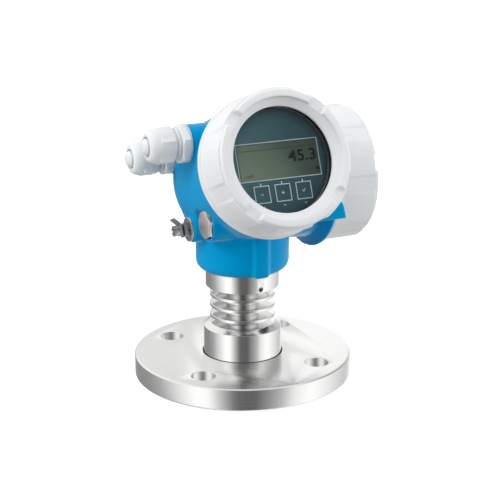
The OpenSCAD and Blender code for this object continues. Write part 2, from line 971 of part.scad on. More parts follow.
module gland_cap() {
    af = gland_cap_af;
    bore = gland_neck_r + run_gap;
    dome = gland_l - gland_neck_top - gland_cap_hex;
    mouth = gland_mouth_d / 2;
    color(white)
        difference() {
            intersection() {
                translate([0, 0, gland_neck_top])
                    union() {
                        hexagon(af, gland_cap_hex);
                        cylinder(d = af * 1.03, h = gland_l - gland_neck_top);
                    }
                translate([0, 0, gland_neck_top])
                    rotate_extrude()
                        polygon(concat(
                            [[0, 0], [af / 2 + 0.6, 0], [af / 2 + 2.2, 1.6], [af / 2 + 2.2, gland_cap_hex]],
                            [for (a = [0 : 15 : 90]) [
                                mouth + 1 + (af * 0.515 - mouth - 1) * cos(a),
                                gland_cap_hex + dome * sin(a)
                            ]],
                            [[0, gland_cap_hex + dome]]
                        ));
            }
            cylinder(r = bore, h = gland_roof);
            cylinder(r = mouth, h = gland_l + 1);
        }
}

module blank_plug() {
    out = gland_l + blank_out;
    color(white)
        translate([0, 0, gland_washer_t + gland_hex_t + 1])
            rotate_extrude()
                polygon([
                    [0, 0], [blank_r - 1, 0], [blank_r, 1], [blank_r, out - 8 - 2.4],
                    [blank_r - 1.6, out - 8 - 0.5], [blank_r - 3, out - 8], [0, out - 8]
                ]);
}

front_gland_out = rear_gland_out + gland_pitch;
front_gland_up = gland_up + gland_pitch * tan(gland_tilt);

module front_gland_washer() { on_left(front_gland_out, front_gland_up, gland_reach) gland_washer(); }
module front_gland_body() { on_left(front_gland_out, front_gland_up, gland_reach) gland_body(); }
module front_gland_insert() { on_left(front_gland_out, front_gland_up, gland_reach) gland_insert(); }
module front_gland_cap() { on_left(front_gland_out, front_gland_up, gland_reach) gland_cap(); }
module front_blank() { on_left(front_gland_out, front_gland_up, gland_reach) blank_plug(); }
module rear_gland_washer() { on_left(rear_gland_out, gland_up, gland_reach) gland_washer(); }
module rear_gland_body() { on_left(rear_gland_out, gland_up, gland_reach) gland_body(); }
module rear_gland_insert() { on_left(rear_gland_out, gland_up, gland_reach) gland_insert(); }
module rear_gland_cap() { on_left(rear_gland_out, gland_up, gland_reach) gland_cap(); }
module rear_blank() { on_left(rear_gland_out, gland_up, gland_reach) blank_plug(); }

module plug_gasket() {
    color(rubber)
        on_left(plug_out, -side_row_down, plug_reach)
            ring(plug_thread_d / 2 + 2.5, plug_thread_d / 2 + seat_gap, plug_gasket_t);
}

module hex_plug() {
    color(steel)
        on_left(plug_out, -side_row_down, plug_reach) {
            translate([0, 0, -plug_thread_l])
                cylinder(d = plug_thread_d, h = plug_thread_l + plug_gasket_t);
            translate([0, 0, plug_gasket_t])
                hex_head(plug_af, plug_t);
        }
}

// Ground terminal pieces, stacked outwards from the boss
plate_t = 1.5;
block_t = 4;
spring_t = 1.4;
clamp_t = 1.2;
clamp_w = 8;
clamp_ear = 5;

module on_ground(z) {
    on_left(ground_out, -side_row_down, ground_reach + z)
        children();
}

module ground_plate() {
    color(zinc)
        on_ground(0)
            ring(ground_plate_d / 2, ground_screw_d / 2 + face_gap, plate_t);
}

module ground_block() {
    color(zinc)
        on_ground(plate_t)
            difference() {
                translate([-5, -5, 0])
                    cube([10, 10, block_t]);
                translate([0, 0, -1])
                    cylinder(d = ground_screw_d + 2 * face_gap, h = block_t + 2, $fn = 48);
                translate([-6, -1.6, -0.01])
                    cube([12, 1.2, 1.2]);
            }
}

module spring_washer() {
    color("#55585a")
        on_ground(plate_t + block_t)
            difference() {
                ring(4.4, ground_screw_d / 2 + face_gap, spring_t);
                translate([0, -0.4, -1])
                    cube([6, 0.8, spring_t + 2]);
            }
}

// The bent clamp under the screw head, its ear rising outwards
module ground_clamp() {
    half = clamp_w / 2;
    bend = ground_screw_d / 2 + 2.6;
    tip = bend + clamp_ear;
    color(zinc)
        on_ground(plate_t + block_t + spring_t)
            difference() {
                translate([-half, 0, 0])
                    rotate([90, 0, 90])
                        linear_extrude(clamp_w)
                            polygon([
                                [-half, 0], [bend, 0], [tip, clamp_ear], [tip - 0.8, clamp_ear + 0.9],
                                [bend - 0.5, clamp_t], [-half, clamp_t]
                            ]);
                translate([0, 0, -1])
                    cylinder(d = ground_screw_d + 2 * face_gap, h = clamp_t + 2, $fn = 48);
            }
}

module ground_screw() {
    seat = plate_t + block_t + spring_t + clamp_t;
    color(steel)
        on_ground(seat)
            pan_screw(ground_screw_d, seat + 11, 8, 4.6);
}

flange();
antenna();
finned_neck();
feed_bead();
feed_pin();
neck_seal();
snap_ring();
adapter();
lock_screw();
housing();
radar_module();
electronics_module();
module_screws();
display_module();
display_glass();
display_cover();
sight_glass();
glass_gasket();
glass_ring();
display_cover_seal();
terminal_cover();
terminal_cover_seal();
terminal_carrier();
terminal_block();
terminal_screws();
front_gland_washer();
front_gland_body();
front_gland_insert();
front_gland_cap();
front_blank();
rear_gland_washer();
rear_gland_body();
rear_gland_insert();
rear_gland_cap();
rear_blank();
plug_gasket();
hex_plug();
ground_plate();
ground_block();
spring_washer();
ground_clamp();
ground_screw();
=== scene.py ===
import math
import bpy
import bmesh
from mathutils import Matrix, Vector


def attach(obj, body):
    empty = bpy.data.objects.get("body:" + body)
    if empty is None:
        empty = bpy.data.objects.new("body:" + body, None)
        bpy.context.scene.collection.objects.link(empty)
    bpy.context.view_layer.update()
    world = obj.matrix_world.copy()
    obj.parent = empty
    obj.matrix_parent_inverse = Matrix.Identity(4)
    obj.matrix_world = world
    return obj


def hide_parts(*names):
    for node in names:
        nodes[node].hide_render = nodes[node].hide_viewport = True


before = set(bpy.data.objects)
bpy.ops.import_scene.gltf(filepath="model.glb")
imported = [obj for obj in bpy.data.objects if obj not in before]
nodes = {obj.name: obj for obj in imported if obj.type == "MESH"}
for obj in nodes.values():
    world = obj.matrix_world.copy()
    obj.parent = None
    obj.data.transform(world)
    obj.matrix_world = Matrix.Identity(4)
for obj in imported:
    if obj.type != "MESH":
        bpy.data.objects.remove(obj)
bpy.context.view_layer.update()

mm = 0.001
reliefDepth = 0.02   # mm, how deep the finishes' fine relief goes


def toLinear(code):  # sRGB hex to the linear colour that a shader reads
    parts = [int(code[i:i + 2], 16) / 255 for i in (1, 3, 5)]
    return tuple(c / 12.92 if c <= 0.04045 else ((c + 0.055) / 1.055) ** 2.4 for c in parts) + (1.0,)


def newMaterial(name):
    mat = bpy.data.materials.new(name)
    mat.use_nodes = True
    return mat, mat.node_tree.nodes["Principled BSDF"]


def addNode(mat, kind, settings=None, links=None):  # links: input name -> socket it reads
    node = mat.node_tree.nodes.new(kind)
    for key, value in (settings or {}).items():
        if isinstance(key, str) and hasattr(node, key):
            setattr(node, key, value)
        else:
            node.inputs[key].default_value = value
    for key, source in (links or {}).items():
        mat.node_tree.links.new(source, node.inputs[key])
    return node


def setShader(mat, shader, settings, links=None):
    for key, value in settings.items():
        shader.inputs[key].default_value = value
    for key, source in (links or {}).items():
        mat.node_tree.links.new(source, shader.inputs[key])


def addRamp(mat, source, stops):  # stops: (position, linear colour), from the lowest position up
    node = addNode(mat, "ShaderNodeValToRGB", {}, {"Fac": source})
    marks = node.color_ramp.elements
    marks[0].position, marks[0].color = stops[0]
    marks[-1].position, marks[-1].color = stops[-1]
    for position, colour in stops[1:-1]:
        marks.new(position).color = colour
    return node


def paint(names, mat):
    for name in names:
        node = nodes[name]
        node.data.materials.clear()
        node.data.materials.append(mat)


def makePowderCoat(name, colour, deep, rough, grain, bump, shine, glint):  # grain in mm
    mat, shader = newMaterial(name)
    place = addNode(mat, "ShaderNodeTexCoord")
    peel = addNode(mat, "ShaderNodeTexNoise", {"Scale": 1 / (grain * mm), "Detail": 2.0},
                   {"Vector": place.outputs["Object"]})
    cloud = addNode(mat, "ShaderNodeTexNoise", {"Scale": 18.0, "Detail": 3.0}, {"Vector": place.outputs["Object"]})
    tint = addRamp(mat, cloud.outputs["Fac"], [(0.3, toLinear(deep)), (0.7, toLinear(colour))])
    gloss = addNode(mat, "ShaderNodeMapRange", {"To Min": rough - 0.05, "To Max": rough + 0.07},
                    {"Value": cloud.outputs["Fac"]})
    relief = addNode(mat, "ShaderNodeBump", {"Strength": bump, "Distance": reliefDepth * mm},
                     {"Height": peel.outputs["Fac"]})
    setShader(mat, shader, {"IOR": 1.33, "Specular IOR Level": shine, "Specular Tint": toLinear(glint)},
              {"Base Color": tint.outputs["Color"], "Roughness": gloss.outputs["Result"],
               "Normal": relief.outputs["Normal"]})
    return mat


def makeTurned(name, colour, rough, pitch, stretch):  # lathe lines at this pitch in mm, which stretch the highlights
    mat, shader = newMaterial(name)
    place = addNode(mat, "ShaderNodeTexCoord")
    flat = addNode(mat, "ShaderNodeVectorMath", {"operation": "MULTIPLY", 1: (1, 1, 0)},
                   {0: place.outputs["Object"]})
    radius = addNode(mat, "ShaderNodeVectorMath", {"operation": "LENGTH"}, {0: flat.outputs["Vector"]})
    height = addNode(mat, "ShaderNodeSeparateXYZ", {}, {"Vector": place.outputs["Object"]})
    track = addNode(mat, "ShaderNodeMath", {"operation": "ADD"}, {0: radius.outputs["Value"], 1: height.outputs["Z"]})
    turns = addNode(mat, "ShaderNodeMath", {"operation": "MULTIPLY", 1: 1 / (pitch * mm)},
                    {0: track.outputs["Value"]})
    line = addNode(mat, "ShaderNodeTexNoise", {"noise_dimensions": "1D", "Scale": 1.0, "Detail": 2.0},
                   {"W": turns.outputs["Value"]})
    smudge = addNode(mat, "ShaderNodeTexNoise", {"Scale": 30.0, "Detail": 3.0}, {"Vector": place.outputs["Object"]})
    tint = addRamp(mat, smudge.outputs["Fac"], [(0, toLinear(colour[0])), (1, toLinear(colour[1]))])
    gloss = addNode(mat, "ShaderNodeMapRange", {"To Min": rough - 0.06, "To Max": rough + 0.08},
                    {"Value": line.outputs["Fac"]})
    relief = addNode(mat, "ShaderNodeBump", {"Strength": 0.12, "Distance": reliefDepth * mm},
                     {"Height": line.outputs["Fac"]})
    around = addNode(mat, "ShaderNodeTangent", {"direction_type": "RADIAL", "axis": "Z"})
    setShader(mat, shader, {"Metallic": 1.0, "Anisotropic": stretch, "Anisotropic Rotation": 0.25},
              {"Base Color": tint.outputs["Color"], "Roughness": gloss.outputs["Result"],
               "Normal": relief.outputs["Normal"], "Tangent": around.outputs["Tangent"]})
    return mat


def makePlain(name, colour, rough, metal=0.0, grain=1.0, bump=0.2, shine=0.5):  # grain in mm
    mat, shader = newMaterial(name)
    place = addNode(mat, "ShaderNodeTexCoord")
    speck = addNode(mat, "ShaderNodeTexNoise", {"Scale": 1 / (grain * mm), "Detail": 3.0},
                    {"Vector": place.outputs["Object"]})
    gloss = addNode(mat, "ShaderNodeMapRange", {"To Min": rough - 0.05, "To Max": rough + 0.08},
                    {"Value": speck.outputs["Fac"]})
    relief = addNode(mat, "ShaderNodeBump", {"Strength": bump, "Distance": reliefDepth * mm},
                     {"Height": speck.outputs["Fac"]})
    setShader(mat, shader, {"Metallic": metal, "Base Color": toLinear(colour), "Specular IOR Level": shine},
              {"Roughness": gloss.outputs["Result"], "Normal": relief.outputs["Normal"]})
    return mat


def makePane(name, colours, lift, low, high, rough):  # painted light and shade across the display: the colour runs from the first to the last between low and high in mm
    mat, shader = newMaterial(name)
    place = addNode(mat, "ShaderNodeTexCoord")
    slant = addNode(mat, "ShaderNodeVectorMath", {"operation": "DOT_PRODUCT", 1: (0.9, 0, lift)},
                    {0: place.outputs["Object"]})
    across = addNode(mat, "ShaderNodeMapRange", {"From Min": low * mm, "From Max": high * mm},
                     {"Value": slant.outputs["Value"]})
    grain = addNode(mat, "ShaderNodeTexNoise", {"Scale": 3000.0, "Detail": 1.0}, {"Vector": place.outputs["Object"]})
    tint = addRamp(mat, across.outputs["Result"], [(k / 2, toLinear(code)) for k, code in enumerate(colours)])
    gloss = addNode(mat, "ShaderNodeMapRange", {"To Min": rough, "To Max": rough + 0.06},
                    {"Value": grain.outputs["Fac"]})
    setShader(mat, shader, {"Specular IOR Level": 0.1},
              {"Base Color": tint.outputs["Color"], "Roughness": gloss.outputs["Result"]})
    return mat


def makeGlass():
    mat, shader = newMaterial("flatGlass")
    mat.node_tree.nodes.remove(shader)
    rim = addNode(mat, "ShaderNodeFresnel", {"IOR": 1.45})
    coated = addNode(mat, "ShaderNodeMath", {"operation": "MULTIPLY", 1: 0.22}, {0: rim.outputs["Fac"]})
    clear = addNode(mat, "ShaderNodeBsdfTransparent", {"Color": (0.93, 0.96, 0.96, 1)})
    gloss = addNode(mat, "ShaderNodeBsdfAnisotropic", {"Color": (1, 1, 1, 1), "Roughness": 0.03})
    both = addNode(mat, "ShaderNodeMixShader", {},
                   {0: coated.outputs["Value"], 1: clear.outputs["BSDF"], 2: gloss.outputs["BSDF"]})
    mat.node_tree.links.new(both.outputs["Shader"], mat.node_tree.nodes["Material Output"].inputs["Surface"])
    return mat


blueCoat = makePowderCoat("bluePowderCoat", "#009cd6", "#0096cf", 0.3, 0.6, 0.25, 0.35, "#30c8ff")
whiteCoat = makePowderCoat("whitePowderCoat", "#e8eaeb", "#e2e4e6", 0.38, 0.5, 0.3, 0.5, "#ffffff")
turnedSteel = makeTurned("turnedStainlessSteel", ("#e6e6e5", "#eeeeed"), 0.15, 0.25, 0.7)
facedSteel = makeTurned("facedStainlessSteel", ("#e9e9e8", "#f1f1f0"), 0.24, 0.4, 0.7)
# painted shade: dark grey steel for the narrow groove at the collar's foot, where shade falls
seamShadeSteel = makePlain("seamPaintedShade", "#4a4b4c", 0.7, 0.5)
boredSteel = makePlain("boredStainlessSteel", "#ececeb", 0.4, 1.0)
zincPlate = makePlain("zincPlate", "#b9bcbd", 0.28, 1.0)
nickelPlate = makePlain("nickelPlate", "#e6dfdb", 0.42, 1.0)
springSteel = makePlain("blackenedSpringSteel", "#5a5c5e", 0.35, 1.0)
greyFibre = makePlain("greyFibreWasher", "#c3c7ca", 0.6)
rubber = makePlain("blackRubber", "#1c1d1f", 0.7)
whitePolyamide = makePlain("whitePolyamide", "#e3e7e9", 0.4)
blackPlastic = makePlain("blackMouldedPlastic", "#22272a", 0.5)
ptfe = makePlain("machinedPtfe", "#efeee8", 0.5)
gilt = makePlain("giltBrass", "#c9a44a", 0.25, 1.0)
greenPlastic = makePlain("greenTerminalPlastic", "#3b5b45", 0.5)
# painted light and shade: the display pane runs from light at one side to dark at the other
lcdPanePaintedLight = makePane("displayPanePaintedLight", ("#a3ab94", "#7f8b79", "#4f5b51"), 0.7, 80, 140, 0.3)
# painted shade: the panel's colour runs lighter to darker across its face
panel = makePane("displayPanelPaintedShade", ("#597b84", "#3f5d66", "#35515a"), -0.35, -100, -20, 0.4)
printWhite = makePlain("whitePrint", "#dfe6e8", 0.5)
segmentInk = makePlain("displaySegments", "#0b100d", 0.5, shine=0.1)
clearGlass = makeGlass()

paint(["flange", "finned_neck", "adapter"], turnedSteel)
paint(["antenna", "feed_bead"], ptfe)
paint(["feed_pin"], gilt)
paint(["front_gland_washer", "rear_gland_washer"], greyFibre)
paint(["neck_seal", "glass_gasket", "display_cover_seal", "terminal_cover_seal", "front_gland_insert",
       "rear_gland_insert", "plug_gasket"], rubber)
paint(["snap_ring"], springSteel)
paint(["lock_screw", "module_screws", "terminal_screws", "ground_plate", "ground_block", "spring_washer",
       "ground_clamp", "ground_screw", "radar_module"], zincPlate)
paint(["hex_plug"], nickelPlate)
paint(["housing"], blueCoat)
paint(["display_cover", "terminal_cover"], whiteCoat)
paint(["front_gland_body", "front_gland_cap", "front_blank", "rear_gland_body", "rear_gland_cap", "rear_blank"],
      whitePolyamide)
paint(["electronics_module", "glass_ring", "terminal_carrier"], blackPlastic)
paint(["display_module"], panel)
paint(["display_glass"], lcdPanePaintedLight)
paint(["terminal_block"], greenPlastic)
paint(["sight_glass"], clearGlass)
for name in ("electronics_module", "terminal_carrier", "terminal_block", "radar_module", "glass_ring",
             "glass_gasket"):
    nodes[name].visible_glossy = False   # shut in the casting, so no reflection shows them
print("materials made")

displayFrame = Matrix.Translation((0, 0.020, 0.148)) @ Matrix.Rotation(math.radians(67.5), 4, "X")
displayCoverFrame = displayFrame @ Matrix.Translation((0, 0, 0.066))
terminalFrame = Matrix.Translation((0, 0.020, 0.1471)) @ Matrix.Rotation(math.radians(90), 4, "Y")


def leftFrame(out, up, reach):  # Z points out of the casting's left flank
    place = Matrix.Translation((-reach * mm, up * mm, out * mm))
    return displayFrame @ place @ Matrix.Rotation(math.radians(-90), 4, "Y")


def copyNode(name):  # a merged copy of a CAD node's mesh in the row's frame
    bm = bmesh.new()
    bm.from_mesh(nodes[name].data)
    bm.transform(nodes[name].matrix_world)
    bmesh.ops.remove_doubles(bm, verts=bm.verts, dist=0.002 * mm)
    return bm


def makePiece(bm, name, mat, body, replaced=(), sharp=34):
    mesh = bpy.data.meshes.new(name)
    bmesh.ops.recalc_face_normals(bm, faces=bm.faces)
    bm.to_mesh(mesh)
    bm.free()
    mesh.materials.append(mat)
    mesh.shade_smooth()
    mesh.set_sharp_from_angle(angle=math.radians(sharp))
    obj = bpy.data.objects.new(name, mesh)
    bpy.context.collection.objects.link(obj)
    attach(obj, body)
    if replaced:
        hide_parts(*replaced)
    return obj


def setFaces(obj, faces, mat):  # a second material on the faces with these numbers
    obj.data.materials.append(mat)
    for index in faces:
        obj.data.polygons[index].material_index = 1


def extent(bm):
    return [Vector([pick(v.co[k] for v in bm.verts) for k in range(3)]) for pick in (min, max)]


def filletProfile(corners, steps=4):  # corners (radius, height, fillet) in mm; a fillet of 0 stays a corner
    points = []
    for i, (r, z, size) in enumerate(corners):
        here = Vector((r, z))
        if size == 0 or i in (0, len(corners) - 1):
            points.append(here)
            continue
        back = (Vector(corners[i - 1][:2]) - here).normalized()
        ahead = (Vector(corners[i + 1][:2]) - here).normalized()
        half = back.angle(ahead) / 2
        centre = here + (back + ahead).normalized() * size / math.sin(half)
        start = here + back * size / math.tan(half) - centre
        end = here + ahead * size / math.tan(half) - centre
        for k in range(steps + 1):
            points.append(centre + start.lerp(end, k / steps).normalized() * size)
    return points


def spinProfile(points, steps=160, closed=False):  # points (radius, height) in mm, spun about Z
    bm = bmesh.new()
    verts = [bm.verts.new((p[0] * mm, 0, p[1] * mm)) for p in points]
    edges = [bm.edges.new(pair) for pair in zip(verts, verts[1:])]
    if closed:
        edges.append(bm.edges.new((verts[-1], verts[0])))
    bmesh.ops.spin(bm, geom=verts + edges, cent=(0, 0, 0), axis=(0, 0, 1), dvec=(0, 0, 0), angle=math.tau,
                   steps=steps, use_merge=True, use_duplicate=False)
    bmesh.ops.remove_doubles(bm, verts=bm.verts, dist=0.001 * mm)
    return bm


def addCylinder(bm, radius, low, high, place, segments=96):
    made = bmesh.ops.create_cone(bm, cap_ends=True, segments=segments, radius1=radius * mm, radius2=radius * mm,
                                 depth=(high - low) * mm)
    bmesh.ops.transform(bm, matrix=place @ Matrix.Translation((0, 0, (low + high) / 2 * mm)), verts=made["verts"])


def roundEdges(bm, width, segments=3, angle=28, flat=0.8):
    bmesh.ops.dissolve_limit(bm, angle_limit=math.radians(flat), verts=bm.verts, edges=bm.edges)
    sharp = [e for e in bm.edges if len(e.link_faces) == 2 and e.calc_face_angle(0) > math.radians(angle)]
    bmesh.ops.bevel(bm, geom=sharp, offset=width * mm, segments=segments, profile=0.5, affect="EDGES",
                    clamp_overlap=True, material=-1)
    return bm


def ramp(value, low, high):
    t = min(1, max(0, (value - low) / (high - low)))
    return t * t * (3 - 2 * t)


casting = {
    "voxel": 1.08,       # mm, sets how fine the cast skin is
    "smoothing": 5,
    "strength": 0.5,
    # plugs that close the bores, so that the skin forms on the outside only: radius, low and high end in mm
    "displayBore": (45.5, 17, 47),
    "terminalBore": (46, -20, 79.5),
    "neckBore": (26.5, 0, 20),
    "neckFrom": 0.0865,   # m, height where the neck's bore starts
    "glandBore": (10.5, -40, -0.2),
    "glandPlaces": ((9, 23.7), (46.7, 25.676)),   # out and up, rear then front
    "glandReach": 50,
    "groundBore": (3, -20, -0.5),
    "groundPlace": (11, -33, 44),
    "plugBore": (9, -20, -0.2),
    "plugPlace": (33, -33, 37),
}


def makeCasting():
    bm = copyNode("housing")
    addCylinder(bm, *casting["displayBore"], displayFrame)
    addCylinder(bm, *casting["terminalBore"], terminalFrame)
    addCylinder(bm, *casting["neckBore"], Matrix.Translation((0, 0, casting["neckFrom"])))
    for out, up in casting["glandPlaces"]:
        addCylinder(bm, *casting["glandBore"], leftFrame(out, up, casting["glandReach"]), 64)
    addCylinder(bm, *casting["groundBore"], leftFrame(*casting["groundPlace"]), 32)
    addCylinder(bm, *casting["plugBore"], leftFrame(*casting["plugPlace"]), 48)
    mesh = bpy.data.meshes.new("castingDraft")
    bm.to_mesh(mesh)
    bm.free()
    draft = bpy.data.objects.new("castingDraft", mesh)
    bpy.context.collection.objects.link(draft)
    shell = draft.modifiers.new("skin", "REMESH")
    shell.mode = "VOXEL"
    shell.voxel_size = casting["voxel"] * mm
    bpy.context.view_layer.update()
    ready = bpy.data.meshes.new_from_object(draft.evaluated_get(bpy.context.evaluated_depsgraph_get()))
    bpy.data.objects.remove(draft)
    bm = bmesh.new()
    bm.from_mesh(ready)
    for turn in range(casting["smoothing"]):
        bmesh.ops.smooth_vert(bm, verts=bm.verts, factor=casting["strength"], use_axis_x=True, use_axis_y=True,
                              use_axis_z=True)
    obj = makePiece(bm, "castHousing", blueCoat, "head", ["housing"], 60)
    obj.visible_glossy = False   # the steel keeps the clean streaks of the studio's cards
    print("casting", len(obj.data.polygons))


cover = {
    "steps": 400,
    # radii in mm; the terminal cover's lip, skirt and rim are wider by "more"
    "bore": 47.3,
    "lip": 52.5,
    "skirt": 51,
    "rim": 49,
    "inner": 43.4,
    "more": 0.9,
    "grips": 8,
    "gripTurn": 201.5,
    "gripWidth": 12,
    "gripDepth": 1.6,
    "gripFrom": 5.6,
    "notches": 4,
    "notchTurn": 49,
    "notchWidth": 11,
    "notchDepth": 3,
    "soft": 0.8,
    "displayTop": 38,
    "displayInside": [(43.2, 35.2, 1.2), (37.9, 31.6, 0.5), (37.9, 29.5, 0.2), (42.6, 29.5, 0), (42.6, 23.7, 0),
                      (44.6, 23.7, 0), (44.6, 20.2, 0), (47.3, 20.2, 0)],
    "terminalFrom": 0.0638,   # m
    "terminalTurn": 22,
    "terminalTop": 35.8,
    "terminalInside": [(41.4, 32.8, 1.5), (0, 32.8, 0), (0, 28.8, 0), (42.3, 28.8, 0), (42.3, 22.2, 0),
                       (47.3, 20.2, 0)],
}


def makeCover(name, node, body, frameMatrix, more, inside, top):
    lip, skirt, rim, inner = cover["lip"] + more, cover["skirt"] + more, cover["rim"] + more, cover["inner"]
    outside = [(cover["bore"], 0, 0), (lip, 0, 0.7), (lip, 3.6, 1.0), (skirt, 3.9, 0.5), (skirt, top - 3, 1.6),
               (rim, top - 2.6, 0.5), (rim, top, 1.5), (inner, top, 1.1)]
    bm = spinProfile(filletProfile(outside + inside, 5), cover["steps"], True)
    for v in bm.verts:
        x, y, z = v.co / mm
        radius = math.hypot(x, y)
        angle = math.degrees(math.atan2(y, x))
        for i in range(cover["grips"]):
            off = (angle - cover["gripTurn"] - i * 360 / cover["grips"] + 180) % 360 - 180
            side = abs(radius * math.sin(math.radians(off)))
            if abs(off) < 30 and radius > skirt - 4 and z > cover["gripFrom"]:
                depth = radius * math.cos(math.radians(off)) - (skirt - cover["gripDepth"])
                share = 1 - ramp(side, cover["gripWidth"] / 2 - 0.2, cover["gripWidth"] / 2 + cover["soft"])
                share *= ramp(z, cover["gripFrom"] - 0.5, cover["gripFrom"] + 0.9)
                if depth > 0:
                    scale = 1 - depth * share / radius
                    v.co.x *= scale
                    v.co.y *= scale
        for i in range(cover["notches"]):
            off = (angle - cover["notchTurn"] - i * 360 / cover["notches"] + 180) % 360 - 180
            side = abs(radius * math.sin(math.radians(off)))
            floor = top - cover["notchDepth"]
            if abs(off) < 40 and radius > inner - 2.5 and z > floor:
                share = 1 - ramp(side, cover["notchWidth"] / 2 - 0.1, cover["notchWidth"] / 2 + cover["soft"])
                v.co.z -= (z - floor) * share * mm
    bm.transform(frameMatrix)
    return makePiece(bm, name, whiteCoat, body, [node], 50)


def makeCovers():
    makeCover("displayCover", "display_cover", "display_cover_body", displayCoverFrame, 0, cover["displayInside"],
              cover["displayTop"])
    foot = Matrix.Translation((0, 0, cover["terminalFrom"]))
    turn = Matrix.Rotation(math.radians(cover["terminalTurn"]), 4, "Z")
    makeCover("terminalCover", "terminal_cover", "terminal_cover_body", terminalFrame @ foot @ turn, cover["more"],
              cover["terminalInside"], cover["terminalTop"])


neck = {
    "steps": 192,
    "stem": 12.75,       # mm, radius between the fins
    "fin": 25,
    "fins": 3,
    "finFrom": 49.9,     # mm, middle height of the lowest fin
    "finPitch": 8.2,
    "finHalf": 1.25,
    "foot": [(20, 6, 0), (25.9, 6, 0), (25.9, 17, 0), (30.5, 17, 0), (30.5, 19.2, 0), (29.5, 19.2, 0),
             (29.5, 20.1, 0), (29.5, 41, 0.5), (24.7, 44, 0.5), (12.75, 44, 1.2)],
    "head": [(12.75, 73.3, 0.6), (20, 73.3, 0.2), (20, 74, 0.2), (17, 74, 0), (17, 85, 0), (14.9, 85, 0),
             (14.9, 87.2, 0), (17, 87.2, 0), (17, 99.1, 0), (15.4, 99.1, 0), (15.4, 100.7, 0), (17, 100.7, 0),
             (17, 103, 0.5), (8, 103, 0), (8, 36, 0), (20, 6, 0)],
    "seam": (0.0185, 0.0201),   # m, heights between which the seam's faces get a painted shade
    "holes": (0.04, 0.0815),    # m, radii between which upright faces are the flange's holes
    "flangeEdge": 0.35,
    "adapterEdge": 0.5,
    "screwEdge": 0.25,
}


def makeNeck():
    stem, fin, half = neck["stem"], neck["fin"], neck["finHalf"]
    outline = list(neck["foot"])
    for k in range(neck["fins"]):
        z = neck["finFrom"] + neck["finPitch"] * k
        outline += [(stem, z - half, 0.7), (fin, z - half, 0.5), (fin, z + half, 0.5), (stem, z + half, 0.7)]
    bm = spinProfile(filletProfile(outline + neck["head"], 4), neck["steps"])
    bm.faces.index_update()
    low, high = neck["seam"]
    seam = [f.index for f in bm.faces if low < f.calc_center_median().z < high]
    obj = makePiece(bm, "finnedNeck", turnedSteel, "process_end", ["finned_neck"], 40)
    # the groove at the collar's foot gets a painted shade, darker than the steel around it
    setFaces(obj, seam, seamShadeSteel)

    flange = roundEdges(copyNode("flange"), neck["flangeEdge"], 3, 28)
    flange.faces.index_update()
    low, high = neck["holes"]
    bored = [f.index for f in flange.faces
             if abs(f.normal.z) < 0.3 and low < f.calc_center_median().xy.length < high]
    plate = makePiece(flange, "processFlange", facedSteel, "process_end", ["flange"], 40)
    setFaces(plate, bored, boredSteel)
    plate.visible_glossy = False   # the collar's streaks stay clear of the bolt holes

    ring = roundEdges(copyNode("adapter"), neck["adapterEdge"], 3, 28)
    makePiece(ring, "headAdapter", turnedSteel, "head", ["adapter"], 40)
    screw = roundEdges(copyNode("lock_screw"), neck["screwEdge"], 2, 28)
    makePiece(screw, "lockScrew", zincPlate, "lock_screw_body", ["lock_screw"], 40)


gland = {   # mm, widths of the rounded edges
    "bodyEdge": 0.45,
    "capEdge": 0.5,
    "blankEdge": 0.5,
}


def makeGlands():
    for side in ("rear", "front"):
        body = roundEdges(copyNode(side + "_gland_body"), gland["bodyEdge"], 3, 26)
        makePiece(body, side + "GlandBody", whitePolyamide, "head", [side + "_gland_body"], 40)
        cap = roundEdges(copyNode(side + "_gland_cap"), gland["capEdge"], 3, 24)
        makePiece(cap, side + "GlandCap", whitePolyamide, side + "_cap_body", [side + "_gland_cap"],
                  40)
        blank = roundEdges(copyNode(side + "_blank"), gland["blankEdge"], 3, 26)
        makePiece(blank, side + "BlankPlug", whitePolyamide, "head", [side + "_blank"], 40)


fitting = {   # mm, widths of the rounded edges
    "plugEdge": 0.35,
    "plugShift": -0.02,    # keeps the plug clear of its gasket as the head turns
    "screwEdge": 0.9,
    "ground": (("ground_plate", "groundPlate", 0.3), ("ground_block", "groundBlock", 0.3),
               ("spring_washer", "springWasher", 0.2), ("ground_clamp", "groundClamp", 0.2)),
}


def makeSideFittings():
    plug = roundEdges(copyNode("hex_plug"), fitting["plugEdge"], 3, 28)
    plug.transform(Matrix.Translation((fitting["plugShift"] * mm, 0, 0)))
    makePiece(plug, "hexPlug", nickelPlate, "plug_body", ["hex_plug"], 40)
    for node, name, width in fitting["ground"]:
        finish = springSteel if node == "spring_washer" else zincPlate
        makePiece(roundEdges(copyNode(node), width, 2, 28), name, finish, "head", [node], 40)
    screw = roundEdges(copyNode("ground_screw"), fitting["screwEdge"], 4, 50)
    makePiece(screw, "groundScrew", zincPlate, "ground_screw_body", ["ground_screw"], 40)


